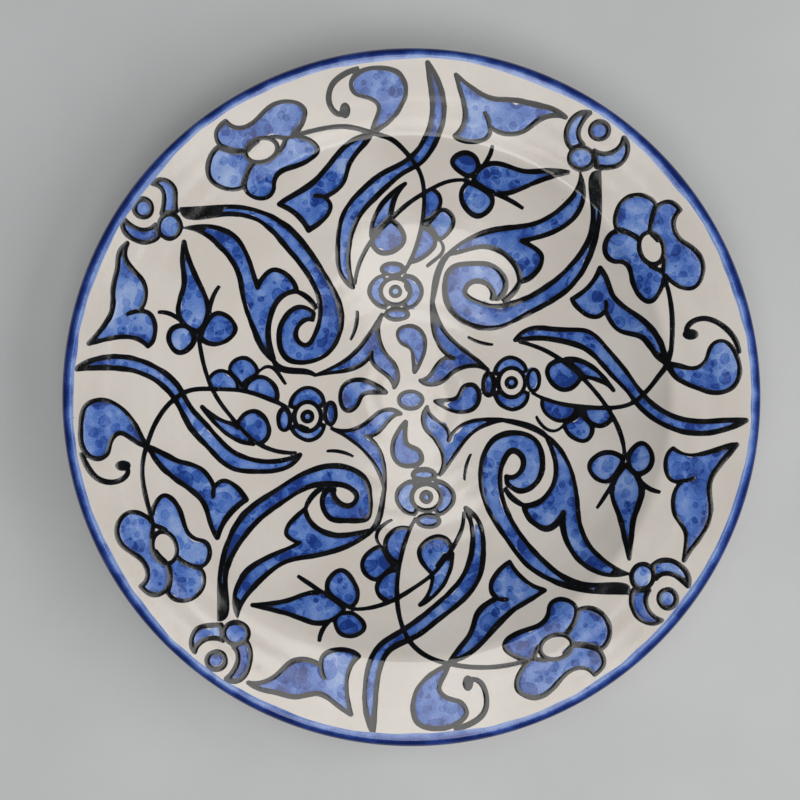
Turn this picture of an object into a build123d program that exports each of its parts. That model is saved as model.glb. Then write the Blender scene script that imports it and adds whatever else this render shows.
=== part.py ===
from build123d import *
import math
import os

# Hand painted ceramic plate: a bowl-like well, a wide flange and a turned foot ring, covered in
# white glaze, with a four-fold floral ornament brushed in cobalt blue inside dark outlines.
# Millimetres.  Origin: centre of the plane the foot ring stands on.  +Z is up, out of the well.

# ---- vessel: driving dimensions --------------------------------------------------------------
RIM_RADIUS = 135.0        # to the outermost point of the painted lip
CLAY_THICKNESS = 5.0      # fired clay wall, the same everywhere but at the foot
GLAZE = 0.5               # glaze coat
PAINT = 0.3               # brushed colour, raised on the glaze
FOOT_CLEARANCE = 3.5      # bare clay floor above the table, inside the foot ring
FLOOR_CURVE = 260.0       # radius of the gently dished floor (clay surface, front)
WALL_CURVE = 107.0        # radius of the rising wall
SHOULDER_CURVE = 9.0      # radius of the convex turn from wall to flange
FLOOR_EDGE = 63.0         # where floor passes into wall
WALL_EDGE = 100.0         # where wall passes into shoulder
FLANGE_SLOPE = math.radians(12)
FOOT_OUTER = 48.0         # foot ring, measured at its resting face
FOOT_INNER = 43.0
FOOT_DRAFT = 0.8          # how much each side of the foot leans towards its resting face
FOOT_ROUND = 1.0          # worn edges of the resting face
BACK_GLAZE_END = 49.5     # the back glaze stops just outside the foot ring
WELL_GLAZE_END = 41.5     # and the glaze under the floor just inside it
BAND_INNER = 130.6        # inner edge of the blue band round the rim
BAND_UNDER_LIP = 0.6      # how far the band wraps under the lip, radians
RING_WIDTH = 1.7          # brush line that closes round the eye of a rosette or a flower
SCRAP = 0.5               # area below which a remnant of a cut shape is not kept

# ---- ornament --------------------------------------------------------------------------------
# Everything below is drawn once, in one quarter of the plate seen from the front, and repeated
# by quarter turns.  A shape is a closed run of sides; a side is a smooth line through its points
# that ends where the next side starts, so the joints between sides are the corners of the shape.

CENTRE_SPOT = (0.0, -1.1, 4.8, 3.5, 0)                 # ellipse: x, y, half width, half height, turn

CENTRE_DROP = [
    [(9.8, -1.6), (14.5, -4.6), (21, -6), (25.6, -4.2), (27.4, 0.5), (25, 5), (21.2, 4.1),
     (18.7, 0), (14.5, -1.2)],
]
FORK = [
    [(3.8, 6.6), (8.2, 9), (11, 12.8), (17.5, 15.3)],
    [(17.5, 15.3), (11.6, 20), (9, 29), (9.6, 38)],
    [(9.6, 38), (11.2, 30), (14.2, 25), (22, 18.5), (31, 11.8)],
    [(31, 11.8), (22, 12.6), (16.5, 9.6), (12.5, 6.2), (8.5, 5)],
]
SCROLL = [
    [(76.2, 84), (76, 73), (73, 58), (66, 45.5), (57, 38.5), (45, 31), (35, 28.1), (25, 28.8),
     (17.1, 33.3), (14.4, 40.5), (17.1, 49.5), (24.4, 52.6), (32.4, 51.3), (37.1, 46.1),
     (34.5, 38.6)],
    [(34.5, 38.6), (31.8, 38.4)],
    [(31.8, 38.4), (31.7, 41.9), (24.1, 44.7), (21.5, 40.9), (25.8, 37.1), (32.7, 35.7),
     (40, 36.5), (50, 40.5), (62, 49.5), (68, 56), (73, 70), (74.5, 84.5)],
]
PALMETTE = [
    [(15.8, 54.2), (20, 58.2), (29.3, 63.8), (40, 65.8), (50, 66.7), (59.6, 70.9), (64.6, 76.4),
     (68.5, 84.5)],
    [(68.5, 84.5), (69.4, 79.2), (68.2, 72.6), (64, 66), (57.7, 61.8), (45.8, 60.6)],
    [(45.8, 60.6), (49.6, 58.2), (52.2, 54.4), (50.8, 49.8), (43.4, 45.4)],
    [(43.4, 45.4), (41.7, 51.3), (30, 58), (20, 55.8)],
]
RIM_LEAF = [
    [(18.4, 125.5), (25.6, 119.5), (33.4, 115.2), (42.5, 115.6), (50.4, 113.7), (57, 109.2),
     (63, 105.2)],
    [(63, 105.2), (57, 106.1), (52, 106), (46.3, 102.6), (40, 101.5), (32.2, 105.5)],
    [(32.2, 105.5), (32, 100.9), (27.7, 98.9), (19.8, 101.8)],
    [(19.8, 101.8), (22.3, 106.7), (21.3, 115)],
]
BUD_LEFT = [
    [(72.6, 106.6), (67.5, 106), (63.2, 100), (65.4, 93.4)],
    [(65.4, 93.4), (70.2, 94.7)],
    [(70.2, 94.7), (68.1, 98.5), (70.1, 103.8)],
]
BUD_OVAL = (69.4, 89.5, 4.7, 4.1, -10)
BUD_RIGHT = [
    [(86, 96.5), (87.4, 92.4), (84.6, 87), (79, 85.1), (75, 86)],
    [(75, 86), (74.6, 92)],
    [(74.6, 92), (78.5, 90.5), (83.5, 92.4)],
]
BUD_EYE = (77.8, 98.8, 3.5, 3.3, 0)
FLOWER_RING = (96.8, 56.1, 4.5, 6.3, 18)
FLOWER_LEFT = [
    [(82.8, 64.8), (82.2, 70.7), (86.3, 75.7), (92.8, 76.4), (97.2, 73.3)],
    [(97.2, 73.3), (95.8, 68.6), (95.7, 61.7)],
    [(95.7, 61.7), (92.7, 59.6)],
    [(92.7, 59.6), (88.1, 63)],
]
FLOWER_TOP = [
    [(97.9, 72.6), (101.6, 74.2), (107, 70.6)],
    [(107, 70.6), (104.5, 65.7), (106.6, 60.1), (112.4, 54.5), (115.9, 47.2), (112.7, 41),
     (106.9, 41.9), (101.4, 48.1)],
    [(101.4, 48.1), (101.5, 54.6), (96.4, 61.6)],
    [(96.4, 61.6), (96.5, 68.2)],
]
FLOWER_RIGHT = [
    [(82.4, 53.7), (88.1, 50.7), (91.3, 42.8), (96.9, 36.1), (100.7, 40.5), (100.8, 47.6)],
    [(100.8, 47.6), (94.2, 51.6), (92.3, 58.8)],
    [(92.3, 58.8), (86.6, 63.2), (81.2, 63.6), (79, 60)],
]
WALL_LEAF = [
    [(75.8, 52.4), (72.6, 45.3), (65.4, 39.2)],
    [(65.4, 39.2), (70, 33.9), (75.6, 31.6), (79.3, 34.2)],
    [(79.3, 34.2), (81.1, 30.4), (84.5, 26.5), (92.4, 23.2), (98.4, 18.2), (102.6, 15.2)],
    [(102.6, 15.2), (99.8, 22.3), (91.9, 31.1), (83.4, 40.2), (78.2, 48.8)],
]
BLADE = [
    [(44.6, 22), (49.9, 27.2), (60.7, 28.9), (72.3, 26.7), (80.7, 19.9), (87.7, 10.6), (94.3, 0.8),
     (100.3, -6.6), (109.2, -9.3), (120, -9.1), (129, -8.9)],
    [(129, -8.9), (120, -12.8), (109.2, -14), (99.7, -11.3), (93.3, -5.3), (87.7, 2.7),
     (80.7, 11.5), (72.3, 19.9), (62.5, 24.1), (53.7, 24.6)],
]
COMMA = [
    [(104, 14.3), (108, 7.2), (113.3, 2.6), (120, 0.7), (125.5, 2.9), (127.8, 9.6), (126.2, 16.8),
     (121.7, 21.2), (118.3, 19.4), (116.4, 13.9), (113.3, 10.8), (109.2, 12)],
]
TREFOIL_UP = [
    [(24.6, 85.6), (20.3, 87.4), (18.2, 91), (21.5, 93.8), (28.1, 92.6), (30, 89.4)],
]
TREFOIL_BUD = [
    [(26.8, 84.3), (30.3, 88), (35.5, 90), (46.7, 86.9), (55, 85.5), (62.8, 84.6)],
    [(62.8, 84.6), (56, 83.2), (47, 81.7), (38, 79.1), (30, 81.7)],
]
TREFOIL_DOWN = [
    [(24.4, 83.6), (29.8, 81.2), (33.4, 76.8), (28.4, 70.6), (23.3, 74.2), (22, 79.4)],
]
BERRY_LEFT = [
    [(52.6, -1.2), (54, -7.4), (59, -10.3), (63.2, -8.8), (66, -4.8)],
    [(66, -4.8), (58.6, -2.9)],
]
BERRY_MIDDLE = [
    [(67.2, -6.3), (63.6, -9.8), (60.4, -11.6), (63.6, -18), (68.4, -19.2), (72.5, -14.2),
     (69.3, -9.6)],
]
BERRY_RIGHT = [
    [(69.3, -5.2), (72.4, -12.2), (76.6, -13.6), (80, -10.8), (79.6, -5.6)],
    [(79.6, -5.6), (75, -5.7)],
]
LEAF_ROUND = [
    [(59.9, 16), (56, 9.7), (62, 3.3), (66, 4.6), (70, 8.2)],
    [(70, 8.2), (65, 12.2)],
]
LEAF_POINT = [
    [(62.6, 16.4), (70.6, 14.9), (77.6, 10.2), (82.1, 3.6)],
    [(82.1, 3.6), (78.2, 6.8), (75, 8), (71.6, 8.7)],
    [(71.6, 8.7), (67.2, 12.6)],
]
ROSETTE_DOT = (40.2, 6.2, 1.9, 1.9, 0)
ROSETTE_RING = (40.2, 6.2, 5.3, 5.9, 0)
ROSETTE_UP = [
    [(33.9, 10.6), (35.9, 14.9), (40, 17.2), (44.4, 15.3), (46.9, 11.2)],
    [(46.9, 11.2), (44.1, 10.2), (40.2, 11.9), (36.4, 10)],
]
ROSETTE_DOWN = [
    [(46.9, 1.4), (44.6, -3.6), (40.2, -5.7), (35.9, -3.4), (33.9, 0.9)],
    [(33.9, 0.9), (36.4, 2.1), (40.2, 0.5), (44, 2.1)],
]
ROSETTE_LEFT = (31.2, 5.4, 2.1, 4.4, 0)
ROSETTE_RIGHT = (49.6, 7, 2.3, 4.3, 0)

# Single brush lines: width in the middle, then the points the brush went through.
FORK_STEM = (2.5, [(9.7, 37.4), (10.9, 45), (13, 50), (16.2, 54.6)])
RING_STEM = (1.6, [(48.4, 1.9), (56.9, -2), (67.7, -4.8), (79.3, -5.6), (88.7, -3.9),
                   (95.7, -0.4), (101.3, 7.2), (103.3, 13.5), (104.8, 24), (104.5, 33.5),
                   (101.2, 47.4)])
LONG_STEM = (1.5, [(46, 21.2), (53.2, 20.2), (61.2, 16), (70.8, 8.2), (75.6, 1.4), (79.4, -5),
                   (82.6, -13), (84.2, -24)])
COMMA_CURL = (2.0, [(128, 16.5), (125.8, 23), (121.2, 28.3), (115, 28.8), (110.4, 26.6),
                    (109.2, 22.6)])
CURL_BLOB = (110.8, 21.9, 2.9, 2.0, 0)
PALMETTE_TAIL = (2.2, [(43.2, 45), (40.6, 40.8), (36.2, 37.6)])
SCROLL_DASH = (1.3, [(22.8, 24.2), (27.5, 22.3), (33.5, 21.6)])
BERRY_DASH = (1.4, [(49.2, -7.2), (51.2, -10.8), (54.8, -13.3), (59.8, -11.9)])
RIM_VEIN = (1.7, [(32.4, 104.6), (32.1, 107.4), (31, 110)])
WALL_VEIN = (1.7, [(79.2, 33.4), (79.7, 36), (79.6, 38.4)])
SEPAL_UP = (1.7, [(32.4, 89.4), (35.6, 92.8), (36.9, 96.8)])
SEPAL_DOWN = (1.6, [(33.8, 79.5), (38.5, 76.8), (43.9, 73.2)])

# The plate was painted freehand, so no quarter matches the next.  Each row is one landmark of the
# ornament as drawn above, then where it landed in the other quarters.  The quarter the shapes are
# drawn for is the last one: there a landmark stays put unless a fourth place is given.
LANDMARKS = [
    # rim bud
    ((77.8, 98.8), (72.4, 102.9), (72.8, 103.5), (75.2, 101.6)),
    ((69.4, 89.5), (65.7, 92.6), (66, 93.6), (67.8, 91.8)),
    ((72.6, 106.6), (68.7, 109.5), (68.8, 111), (71.2, 108.4)),
    ((63.2, 100), (60, 102.8), (60.2, 104.9), (62, 100.6)),
    ((87, 94), (83, 97.2), (83.4, 97), (84.4, 95.6)),
    ((79, 85.1), (76, 89), (76, 91.4), (77.6, 88.4)),
    # scroll
    ((27, 40.5), (27.9, 42.1), (26.3, 42.3), (26, 39.6)),
    ((14.4, 40.5), (13.8, 41.6), (14.2, 41.6), (16.6, 39.4)),
    ((24.4, 52.6), (24.4, 53.4), (23.6, 52.8), (25.4, 49.2)),
    ((37.1, 46.1), (37.6, 46.8), (35.8, 45.4), (35.3, 43.2)),
    ((29, 28.3), (29.2, 28.2), (29.2, 28.3), (29.2, 28)),
    ((62, 44.5), (60.6, 44.4), (60.4, 45.4), (61.4, 44)),
    # palmette
    ((29.3, 63.8), (28.4, 65.2), (27.6, 62.8), (29.2, 60.8)),
    ((30, 58), (29.2, 60.2), (28.6, 56.8), (30, 55.2)),
    ((45.8, 60.2), (43.8, 61.8), (43.6, 60.6), (44.3, 57.4)),
    ((52, 51), (52, 52.4), (50.4, 51.4), (49, 51.4)),
    ((61, 63.8), (60.4, 68), (60.4, 67.6), (61.4, 66.2)),
    ((43.4, 45.4), (43.6, 46.6), (42.4, 46), (42.4, 44.8)),
    ((69.4, 79.2), (67.3, 80.4), (66.6, 81.4), (69.2, 78.6)),
    ((64.6, 76.4), (62.8, 78.2), (62.4, 78.6), (63.8, 77.2)),
    ((68.5, 84.5), (65.4, 87), (65.6, 88.6), (67.4, 86)),
    # fork and the line on from it
    ((10.9, 45), (9.7, 45), (10.9, 45.2), (12, 45)),
    ((15.8, 54.2), (15.1, 57.5), (15, 54.9), (16, 53.5)),
    ((9, 29), (8.8, 30), (10.2, 30), (10.6, 29.6)),
    # rosette
    ((40.2, 6.2), (40.5, 5.9), (42.6, 6.2), (41.6, 7.8)),
    ((40, 17.2), (39.9, 15.8), (42.8, 16.6), (40.8, 17.2)),
    ((40.2, -5.7), (40.5, -4.7), (42.7, -4.2), (41.5, -3.7)),
    # rim flower
    ((97, 55.4), (93.3, 57), (95.9, 57.4), (95.8, 57.6)),
    ((82.2, 70.7), (79.6, 72), (81, 72.4), (80.6, 73)),
    ((79, 60), (75.8, 60), (77.6, 60), (78.6, 61.4)),
    ((112.7, 41), (108.7, 42), (111.4, 41.2), (109.3, 44.6)),
    ((101.6, 74.2), (98.8, 75.4), (101, 75.4), (98.4, 76.2)),
    ((107, 70.6), (103.6, 72.2), (106.4, 71.6), (104.2, 73)),
    ((115.6, 46), (112.4, 49.2), (113.8, 48), (113.4, 50.6)),
    ((91.3, 42.8), (86.6, 44.6), (90.6, 43.4), (90.2, 44)),
    ((97, 36.1), (93.2, 37.4), (96.8, 36.4), (96.4, 38.2)),
    # rim leaf
    ((18.4, 125.5), (17.2, 124.3), (20.8, 124.3), (23.4, 122.2)),
    ((46, 115.5), (44.4, 114.4), (45.6, 115), (48, 115.6)),
    ((63, 105.2), (59.5, 108), (59.3, 109.6), (63.1, 110.7)),
    ((19.8, 101.8), (16.8, 101.6), (19.6, 102.4), (20.2, 100.6)),
    ((40, 101.5), (38.4, 102), (39.4, 103), (40.6, 102.2)),
    ((21.3, 115), (20.2, 114.4), (23.2, 114), (25, 114.4)),
    ((22.3, 106.7), (20.6, 106.4), (22.8, 106.6), (24.4, 106.4)),
    ((32.2, 105.5), (30.3, 105.2), (33.4, 105.8), (35, 104.5)),
    ((32, 100.9), (30.1, 101.2), (32.7, 101.4), (34.6, 100.7)),
    ((31, 110), (28, 110.8), (31.9, 110.4), (33.4, 109.4)),
    # wall leaf
    ((75.8, 52.4), (74.4, 50.6), (75.8, 51.9), (76, 55.1)),
    ((65.4, 39.2), (64, 39), (66.6, 40.7), (65.6, 40.9)),
    ((79.3, 34.2), (76.9, 34.6), (79, 34.4), (77.7, 35.8)),
    ((85, 38.4), (81, 37.6), (84.4, 38.4), (83, 39.6)),
    ((92.4, 23.2), (90.4, 23.6), (91.8, 24), (91.8, 24.8)),
    # comma and its curl
    ((121.7, 21.2), (119.9, 21.8), (120.6, 23.2), (121.1, 23.6)),
    ((103.4, 14.9), (99.4, 13.4), (102.5, 15.6), (102.6, 19.4)),
    ((127.8, 9.6), (126.6, 11), (127, 11.8), (127.4, 10.4)),
    ((119, 0.8), (117, 1.8), (118.4, 2.2), (119.6, 1.2)),
    ((128, 16.5), (126.6, 16.8), (126.8, 20.4), (127.2, 21.8)),
    ((115, 28.8), (112.4, 30.6), (113.6, 31.8), (114, 32.8)),
    ((121.2, 28.3), (119.2, 28), (120.4, 30.6), (121, 31.4)),
    ((110.8, 21.9), (108.3, 24.6), (111.2, 26), (111.8, 26.8)),
    # blade
    ((44.6, 22), (41.7, 23.2), (43.9, 23.5), (44.4, 23.1)),
    ((60.7, 26.7), (60, 24.7), (60.8, 26.9), (61, 27.4)),
    ((80.7, 15.7), (78.4, 13.9), (81.1, 16.2), (80.4, 15.3)),
    ((100, -8.9), (100, -8.9), (100, -7.2), (100, -9.4), (98, -11)),
    ((110, -11.6), (110, -11.6), (110, -10.4), (110, -13), (110, -15.6)),
    ((120, -10.9), (120, -10.9), (120, -9.3), (120, -13.4), (120, -16.1)),
    ((129, -8.9), (129, -8.9), (129, -6.2), (129, -10.9), (129, -15)),
    # ring stem and long stem
    ((104.6, 26), (101, 26), (104.8, 26), (103.9, 27)),
    ((101.3, 7.2), (96, 7.4), (100.6, 8.2), (100, 11)),
    ((95, -1), (90.6, 0.8), (93.4, 0), (92.4, 0.4)),
    ((67.7, -4.8), (67.7, -3.8), (69, -4.4), (67.7, -2.7)),
    ((50, 0.9), (50, 1), (51.5, 1.8), (51.5, 3)),
    ((61.2, 16), (60.6, 14.5), (63, 15.4), (61.5, 18.3)),
    ((79.4, -5), (77.5, -3.6), (80.5, -4.6), (78.5, -2.6)),
    ((83.3, -18), (83.1, -18), (85.4, -18), (82, -18)),
    # curled leaf
    ((56, 9.7), (54.6, 9.5), (57.8, 9.8), (57, 11.8)),
    ((62, 3.3), (61.5, 3), (63.5, 2.6), (63.2, 5.6)),
    ((70.8, 8.2), (68.2, 7.8), (71, 7.8), (69.4, 10.4)),
    ((82.1, 3.6), (80.2, 2.6), (84.5, 2.2), (82.7, 3.8)),
    # berries
    ((59, -10.3), (60.5, -9.2), (62.2, -9.7), (60.6, -8.1)),
    ((67, -19.4), (68.8, -17), (70.6, -16.4), (67.6, -15.2)),
    ((76.6, -13.6), (75.4, -11.1), (78.4, -11.5), (76, -10.2)),
    ((50.6, -10.2), (52.4, -11), (55.4, -9.4), (51.8, -7.2)),
    # trefoil
    ((24, 90), (21.2, 91.6), (22.9, 90.6), (24.3, 89.4)),
    ((62.8, 84.6), (60.9, 87.4), (60.4, 88.3), (61.8, 79.8)),
    ((27.3, 77), (26.3, 77.8), (27.9, 76), (27, 75.5)),
    ((22, 79.4), (19.5, 79.7), (20.9, 78.6), (20.9, 78.6)),
    ((35.5, 90), (31.2, 91.2), (33.2, 90.6), (35, 88.2)),
    ((35.6, 92.8), (30.4, 94.7), (32.4, 94.6), (34.9, 91.6)),
    ((36.9, 96.8), (30.7, 98), (32, 98.6), (35.1, 94.6)),
    ((43, 74), (43.4, 75.2), (43, 76.4), (44, 71.4)),
]
DRIFT_REACH = 12.0        # how far a landmark's drift carries the shapes round it
DRIFT_EASE = 0.03         # how softly it takes over close by


def quarter_turn(point, turns):
    """The point after that many quarter turns about the axis, anticlockwise from the front."""
    x, y = point
    for _ in range(turns % 4):
        x, y = -y, x
    return (x, y)


def drift(point):
    """Where freehand painting put a point of the turned ornament: close to a landmark it moves as
    the landmark did, and between landmarks by their weighted mean."""
    total, move_x, move_y = DRIFT_EASE, 0.0, 0.0
    for drawn, *landed in LANDMARKS:
        for quarter, place in enumerate([*landed, drawn][:4]):
            home = quarter_turn(drawn, quarter)
            there = quarter_turn(place, quarter)
            gap = (math.dist(point, home) / DRIFT_REACH) ** 2
            weight = math.exp(-gap) / (gap + DRIFT_EASE)
            total += weight
            move_x += weight * (there[0] - home[0])
            move_y += weight * (there[1] - home[1])
    return (point[0] + move_x / total, point[1] + move_y / total)


# ---- solids ----------------------------------------------------------------------------------
# The vessel wall is one chain of tangent arcs; every coat is that chain at another offset.

TALL = 120.0              # taller than the whole plate, for cutting through it
TOUCHING = 0.01           # shapes closer than this are taken to meet
PATCH_MARGIN = 3.0        # how far a patch of coat reaches past the shape it is cut for

FLOOR_ANGLE = math.asin(FLOOR_EDGE / FLOOR_CURVE)
CLAY_FLOOR_TOP = FOOT_CLEARANCE + CLAY_THICKNESS
LIP = CLAY_THICKNESS / 2                              # the clay lip is a half round
LIP_CENTRE_RADIUS = RIM_RADIUS - PAINT - GLAZE - LIP


def along(start, distance, angle):
    """The (radius, height) point at a distance from start; angle 0 points away from the axis."""
    return (start[0] + distance * math.cos(angle), start[1] + distance * math.sin(angle))


FLOOR_CENTRE = (0.0, CLAY_FLOOR_TOP + FLOOR_CURVE)
WALL_CENTRE = along(FLOOR_CENTRE, FLOOR_CURVE - WALL_CURVE, FLOOR_ANGLE - math.pi / 2)
WALL_ANGLE = math.asin((WALL_EDGE - WALL_CENTRE[0]) / WALL_CURVE)
SHOULDER_CENTRE = along(WALL_CENTRE, WALL_CURVE + SHOULDER_CURVE, WALL_ANGLE - math.pi / 2)
FLANGE_START = along(SHOULDER_CENTRE, SHOULDER_CURVE - LIP, FLANGE_SLOPE + math.pi / 2)
FLANGE_LENGTH = (LIP_CENTRE_RADIUS - FLANGE_START[0]) / math.cos(FLANGE_SLOPE)
LIP_CENTRE = along(FLANGE_START, FLANGE_LENGTH, FLANGE_SLOPE)


def arc(centre, radius, first, last):
    """Edge of a circular arc between two angles, in the plane of the section."""
    places = [along(centre, radius, angle) for angle in (first, (first + last) / 2, last)]
    return ThreePointArc(*[(x, 0, z) for x, z in places])


def front_chain(offset, lip_angle):
    """The front of the vessel from its centre out to an angle round the lip, offset along its
    normal (0 is the bare clay).  Returns the edges in order."""
    down = -math.pi / 2
    up = math.pi / 2
    return [
        arc(FLOOR_CENTRE, FLOOR_CURVE - offset, down, down + FLOOR_ANGLE),
        arc(WALL_CENTRE, WALL_CURVE - offset, down + FLOOR_ANGLE, down + WALL_ANGLE),
        arc(SHOULDER_CENTRE, SHOULDER_CURVE + offset, up + WALL_ANGLE, up + FLANGE_SLOPE),
        segment(along(SHOULDER_CENTRE, SHOULDER_CURVE + offset, up + FLANGE_SLOPE),
                along(LIP_CENTRE, LIP + offset, up + FLANGE_SLOPE)),
        arc(LIP_CENTRE, LIP + offset, up + FLANGE_SLOPE, lip_angle),
    ]


def back_chain(offset, lip_angle):
    """The back of the vessel from an angle round the lip in to the centre, offset outwards."""
    down = -math.pi / 2
    up = math.pi / 2
    depth = CLAY_THICKNESS + offset
    return [
        arc(LIP_CENTRE, LIP + offset, lip_angle, down + FLANGE_SLOPE),
        segment(along(LIP_CENTRE, LIP + offset, down + FLANGE_SLOPE),
                along(SHOULDER_CENTRE, SHOULDER_CURVE - depth, up + FLANGE_SLOPE)),
        arc(SHOULDER_CENTRE, SHOULDER_CURVE - depth, up + FLANGE_SLOPE, up + WALL_ANGLE),
        arc(WALL_CENTRE, WALL_CURVE + depth, down + WALL_ANGLE, down + FLOOR_ANGLE),
        arc(FLOOR_CENTRE, FLOOR_CURVE + depth, down + FLOOR_ANGLE, down),
    ]


def segment(start, end):
    return Line((start[0], 0, start[1]), (end[0], 0, end[1]))


def turned(edges):
    """Solid of revolution of a closed run of section edges."""
    return revolve(Face(Wire(edges)), Axis.Z, 360)


def coat(chain, inner, outer, lip_angle):
    """A layer between two offsets of a chain, closed at both of its ends."""
    near = chain(inner, lip_angle)
    far = chain(outer, lip_angle)
    start = Line(near[0] @ 0, far[0] @ 0)
    end = Line(near[-1] @ 1, far[-1] @ 1)
    return turned([*near, end, *far, start])


def zone(inner, outer):
    """Upright ring that keeps one zone of a turned layer."""
    ring = Cylinder(outer, TALL)
    return ring - Cylinder(inner, TALL) if inner else ring


def foot_ring():
    """Turned foot: level resting face, sides leaning out as they rise into the floor."""
    top = CLAY_FLOOR_TOP
    corners = [(FOOT_INNER, 0), (FOOT_OUTER, 0), (FOOT_OUTER + FOOT_DRAFT, top),
               (FOOT_INNER - FOOT_DRAFT, top)]
    ring = turned([segment(corners[i - 1], corners[i]) for i in range(4)])
    resting = [edge for edge in ring.edges() if edge.bounding_box().max.Z < TOUCHING]
    return fillet(resting, FOOT_ROUND)


def clay_body():
    """One fired piece: the vessel wall with its half-round lip and its foot ring."""
    wall = turned([*front_chain(0, 0), *back_chain(0, 0),
                   segment((0, FOOT_CLEARANCE), (0, CLAY_FLOOR_TOP))])
    return wall + foot_ring()


def paint_coat():
    """The layer over the front, inside the rim band, that colour fills wherever it is brushed."""
    return coat(front_chain, GLAZE, GLAZE + PAINT, 0) & zone(0, BAND_INNER)


# ---- brushed shapes --------------------------------------------------------------------------


def placed(point, quarter):
    return drift(quarter_turn(point, quarter))


def side(points):
    """A smooth brushed line through two or more points."""
    points = [(x, y, 0) for x, y in points]
    return Line(*points) if len(points) == 2 else Spline(*points)


def facing_up(face):
    return face if face.normal_at().Z > 0 else -face


def outline(shape, quarter):
    """The face inside a shape's run of sides, or inside its ellipse."""
    if isinstance(shape, tuple):
        x, y, half_width, half_height, turn = shape
        x, y = placed((x, y), quarter)
        lie = Rot(0, 0, turn + 90 * quarter)
        return (Pos(x, y) * lie * Ellipse(half_width, half_height)).face()
    edges = []
    for number, points in enumerate(shape):
        following = shape[(number + 1) % len(shape)][0]
        if len(shape) == 1 or points[-1] != following:
            points = [*points, following]
        edges.append(side([placed(point, quarter) for point in points]))
    return facing_up(Face(Wire(edges)))


END_SHARE = 0.7           # width of a brush line at its ends, of its width in the middle


def stroke(line, quarter):
    """The face a brush line covers: full width along its middle, less at its two ends."""
    width, points = line
    points = [placed(point, quarter) for point in points]
    left, right = [], []
    last = len(points) - 1
    for number, (x, y) in enumerate(points):
        before = points[max(number - 1, 0)]
        after = points[min(number + 1, last)]
        run = math.dist(before, after)
        across_x = -(after[1] - before[1]) / run
        across_y = (after[0] - before[0]) / run
        half = width / 2 if 0 < number < last else width * END_SHARE / 2
        left.append((x + half * across_x, y + half * across_y))
        right.append((x - half * across_x, y - half * across_y))
    right.reverse()
    return facing_up(Face(Wire([side(left), side([left[-1], right[0]]), side(right),
                                side([right[-1], left[0]])])))


def ring_line(ellipse, width, quarter):
    """The face a brush line covers when it closes on itself as an ellipse."""
    x, y, half_width, half_height, turn = ellipse
    outer = (x, y, half_width + width / 2, half_height + width / 2, turn)
    inner = (x, y, half_width - width / 2, half_height - width / 2, turn)
    return outline(outer, quarter) - outline(inner, quarter)


def laid(face, paint):
    """A flat face brought down onto the plate as a coat of colour."""
    reach = face.bounding_box()
    wide, deep = reach.size.X + 2 * PATCH_MARGIN, reach.size.Y + 2 * PATCH_MARGIN
    patch = paint & (Pos(*reach.center()) * Box(wide, deep, TALL))
    return extrude(face, TALL / 2, dir=(0, 0, 1)) & patch


def crossed_by(shape, lines):
    """The faces left of a flat shape once the brush lines that run over it are cut away."""
    faces = list(shape.faces())
    for line in lines:
        left = []
        for face in faces:
            meets = face.distance_to(line) < TOUCHING
            left += (face - line).faces() if meets else [face]
        faces = left
    return [face for face in faces if face.area > SCRAP]


# Which shapes make up each node.  A wash fills the inside of its outline; a line is one dark
# stroke.  A wash is left open where a line crosses it.
WASHES = {
    "centre_drops": [CENTRE_DROP],
    "centre_forks": [FORK],
    "scroll_ribbons": [SCROLL],
    "palmette_leaves": [PALMETTE],
    "rim_leaves": [RIM_LEAF],
    "rim_buds": [BUD_LEFT, BUD_OVAL, BUD_RIGHT, BUD_EYE],
    "rim_flowers": [FLOWER_LEFT, FLOWER_TOP, FLOWER_RIGHT],
    "wall_leaves": [WALL_LEAF],
    "long_blades": [BLADE],
    "comma_drops": [COMMA],
    "trefoils": [TREFOIL_UP, TREFOIL_BUD, TREFOIL_DOWN],
    "berries": [BERRY_LEFT, BERRY_MIDDLE, BERRY_RIGHT],
    "curled_leaves": [LEAF_ROUND, LEAF_POINT],
    "rosettes": [ROSETTE_DOT, ROSETTE_UP, ROSETTE_DOWN, ROSETTE_LEFT, ROSETTE_RIGHT],
}
LINES = {
    "leaf_veins": [RIM_VEIN, WALL_VEIN],
    "short_dashes": [SCROLL_DASH, BERRY_DASH, SEPAL_UP, SEPAL_DOWN],
    "scroll_stems": [FORK_STEM, PALMETTE_TAIL],
}
QUARTERS = range(4)


def stems(quarter):
    """The long stem crosses the ring stem: the two are one deposit of colour."""
    return stroke(RING_STEM, quarter) + stroke(LONG_STEM, quarter)


def curl(quarter):
    """Each curl ends in a blob where the brush was set down."""
    return stroke(COMMA_CURL, quarter) + outline(CURL_BLOB, quarter)


def ornament():
    """The flat faces of every brushed node.  What is laid first is whole; what comes after it in
    this function is cut where the two would overlap."""
    laid_first = {
        "rosette_rings": [ring_line(ROSETTE_RING, RING_WIDTH, quarter) for quarter in QUARTERS],
        "flower_rings": [ring_line(FLOWER_RING, RING_WIDTH, quarter) for quarter in QUARTERS],
        "stems": [stems(quarter) for quarter in QUARTERS],
        "comma_curls": [curl(quarter) for quarter in QUARTERS],
    }
    for name, lines in LINES.items():
        laid_first[name] = [stroke(line, quarter) for line in lines for quarter in QUARTERS]
    nodes, over = {}, []
    for name, shapes in laid_first.items():
        nodes[name] = [face for shape in shapes for face in crossed_by(shape, over)]
        over = over + nodes[name]
    for name, shapes in WASHES.items():
        faces = [outline(shape, quarter) for shape in shapes for quarter in QUARTERS]
        nodes[name] = [part for face in faces for part in crossed_by(face, over)]
    nodes["centre_spot"] = [outline(CENTRE_SPOT, 0)]
    return nodes


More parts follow.
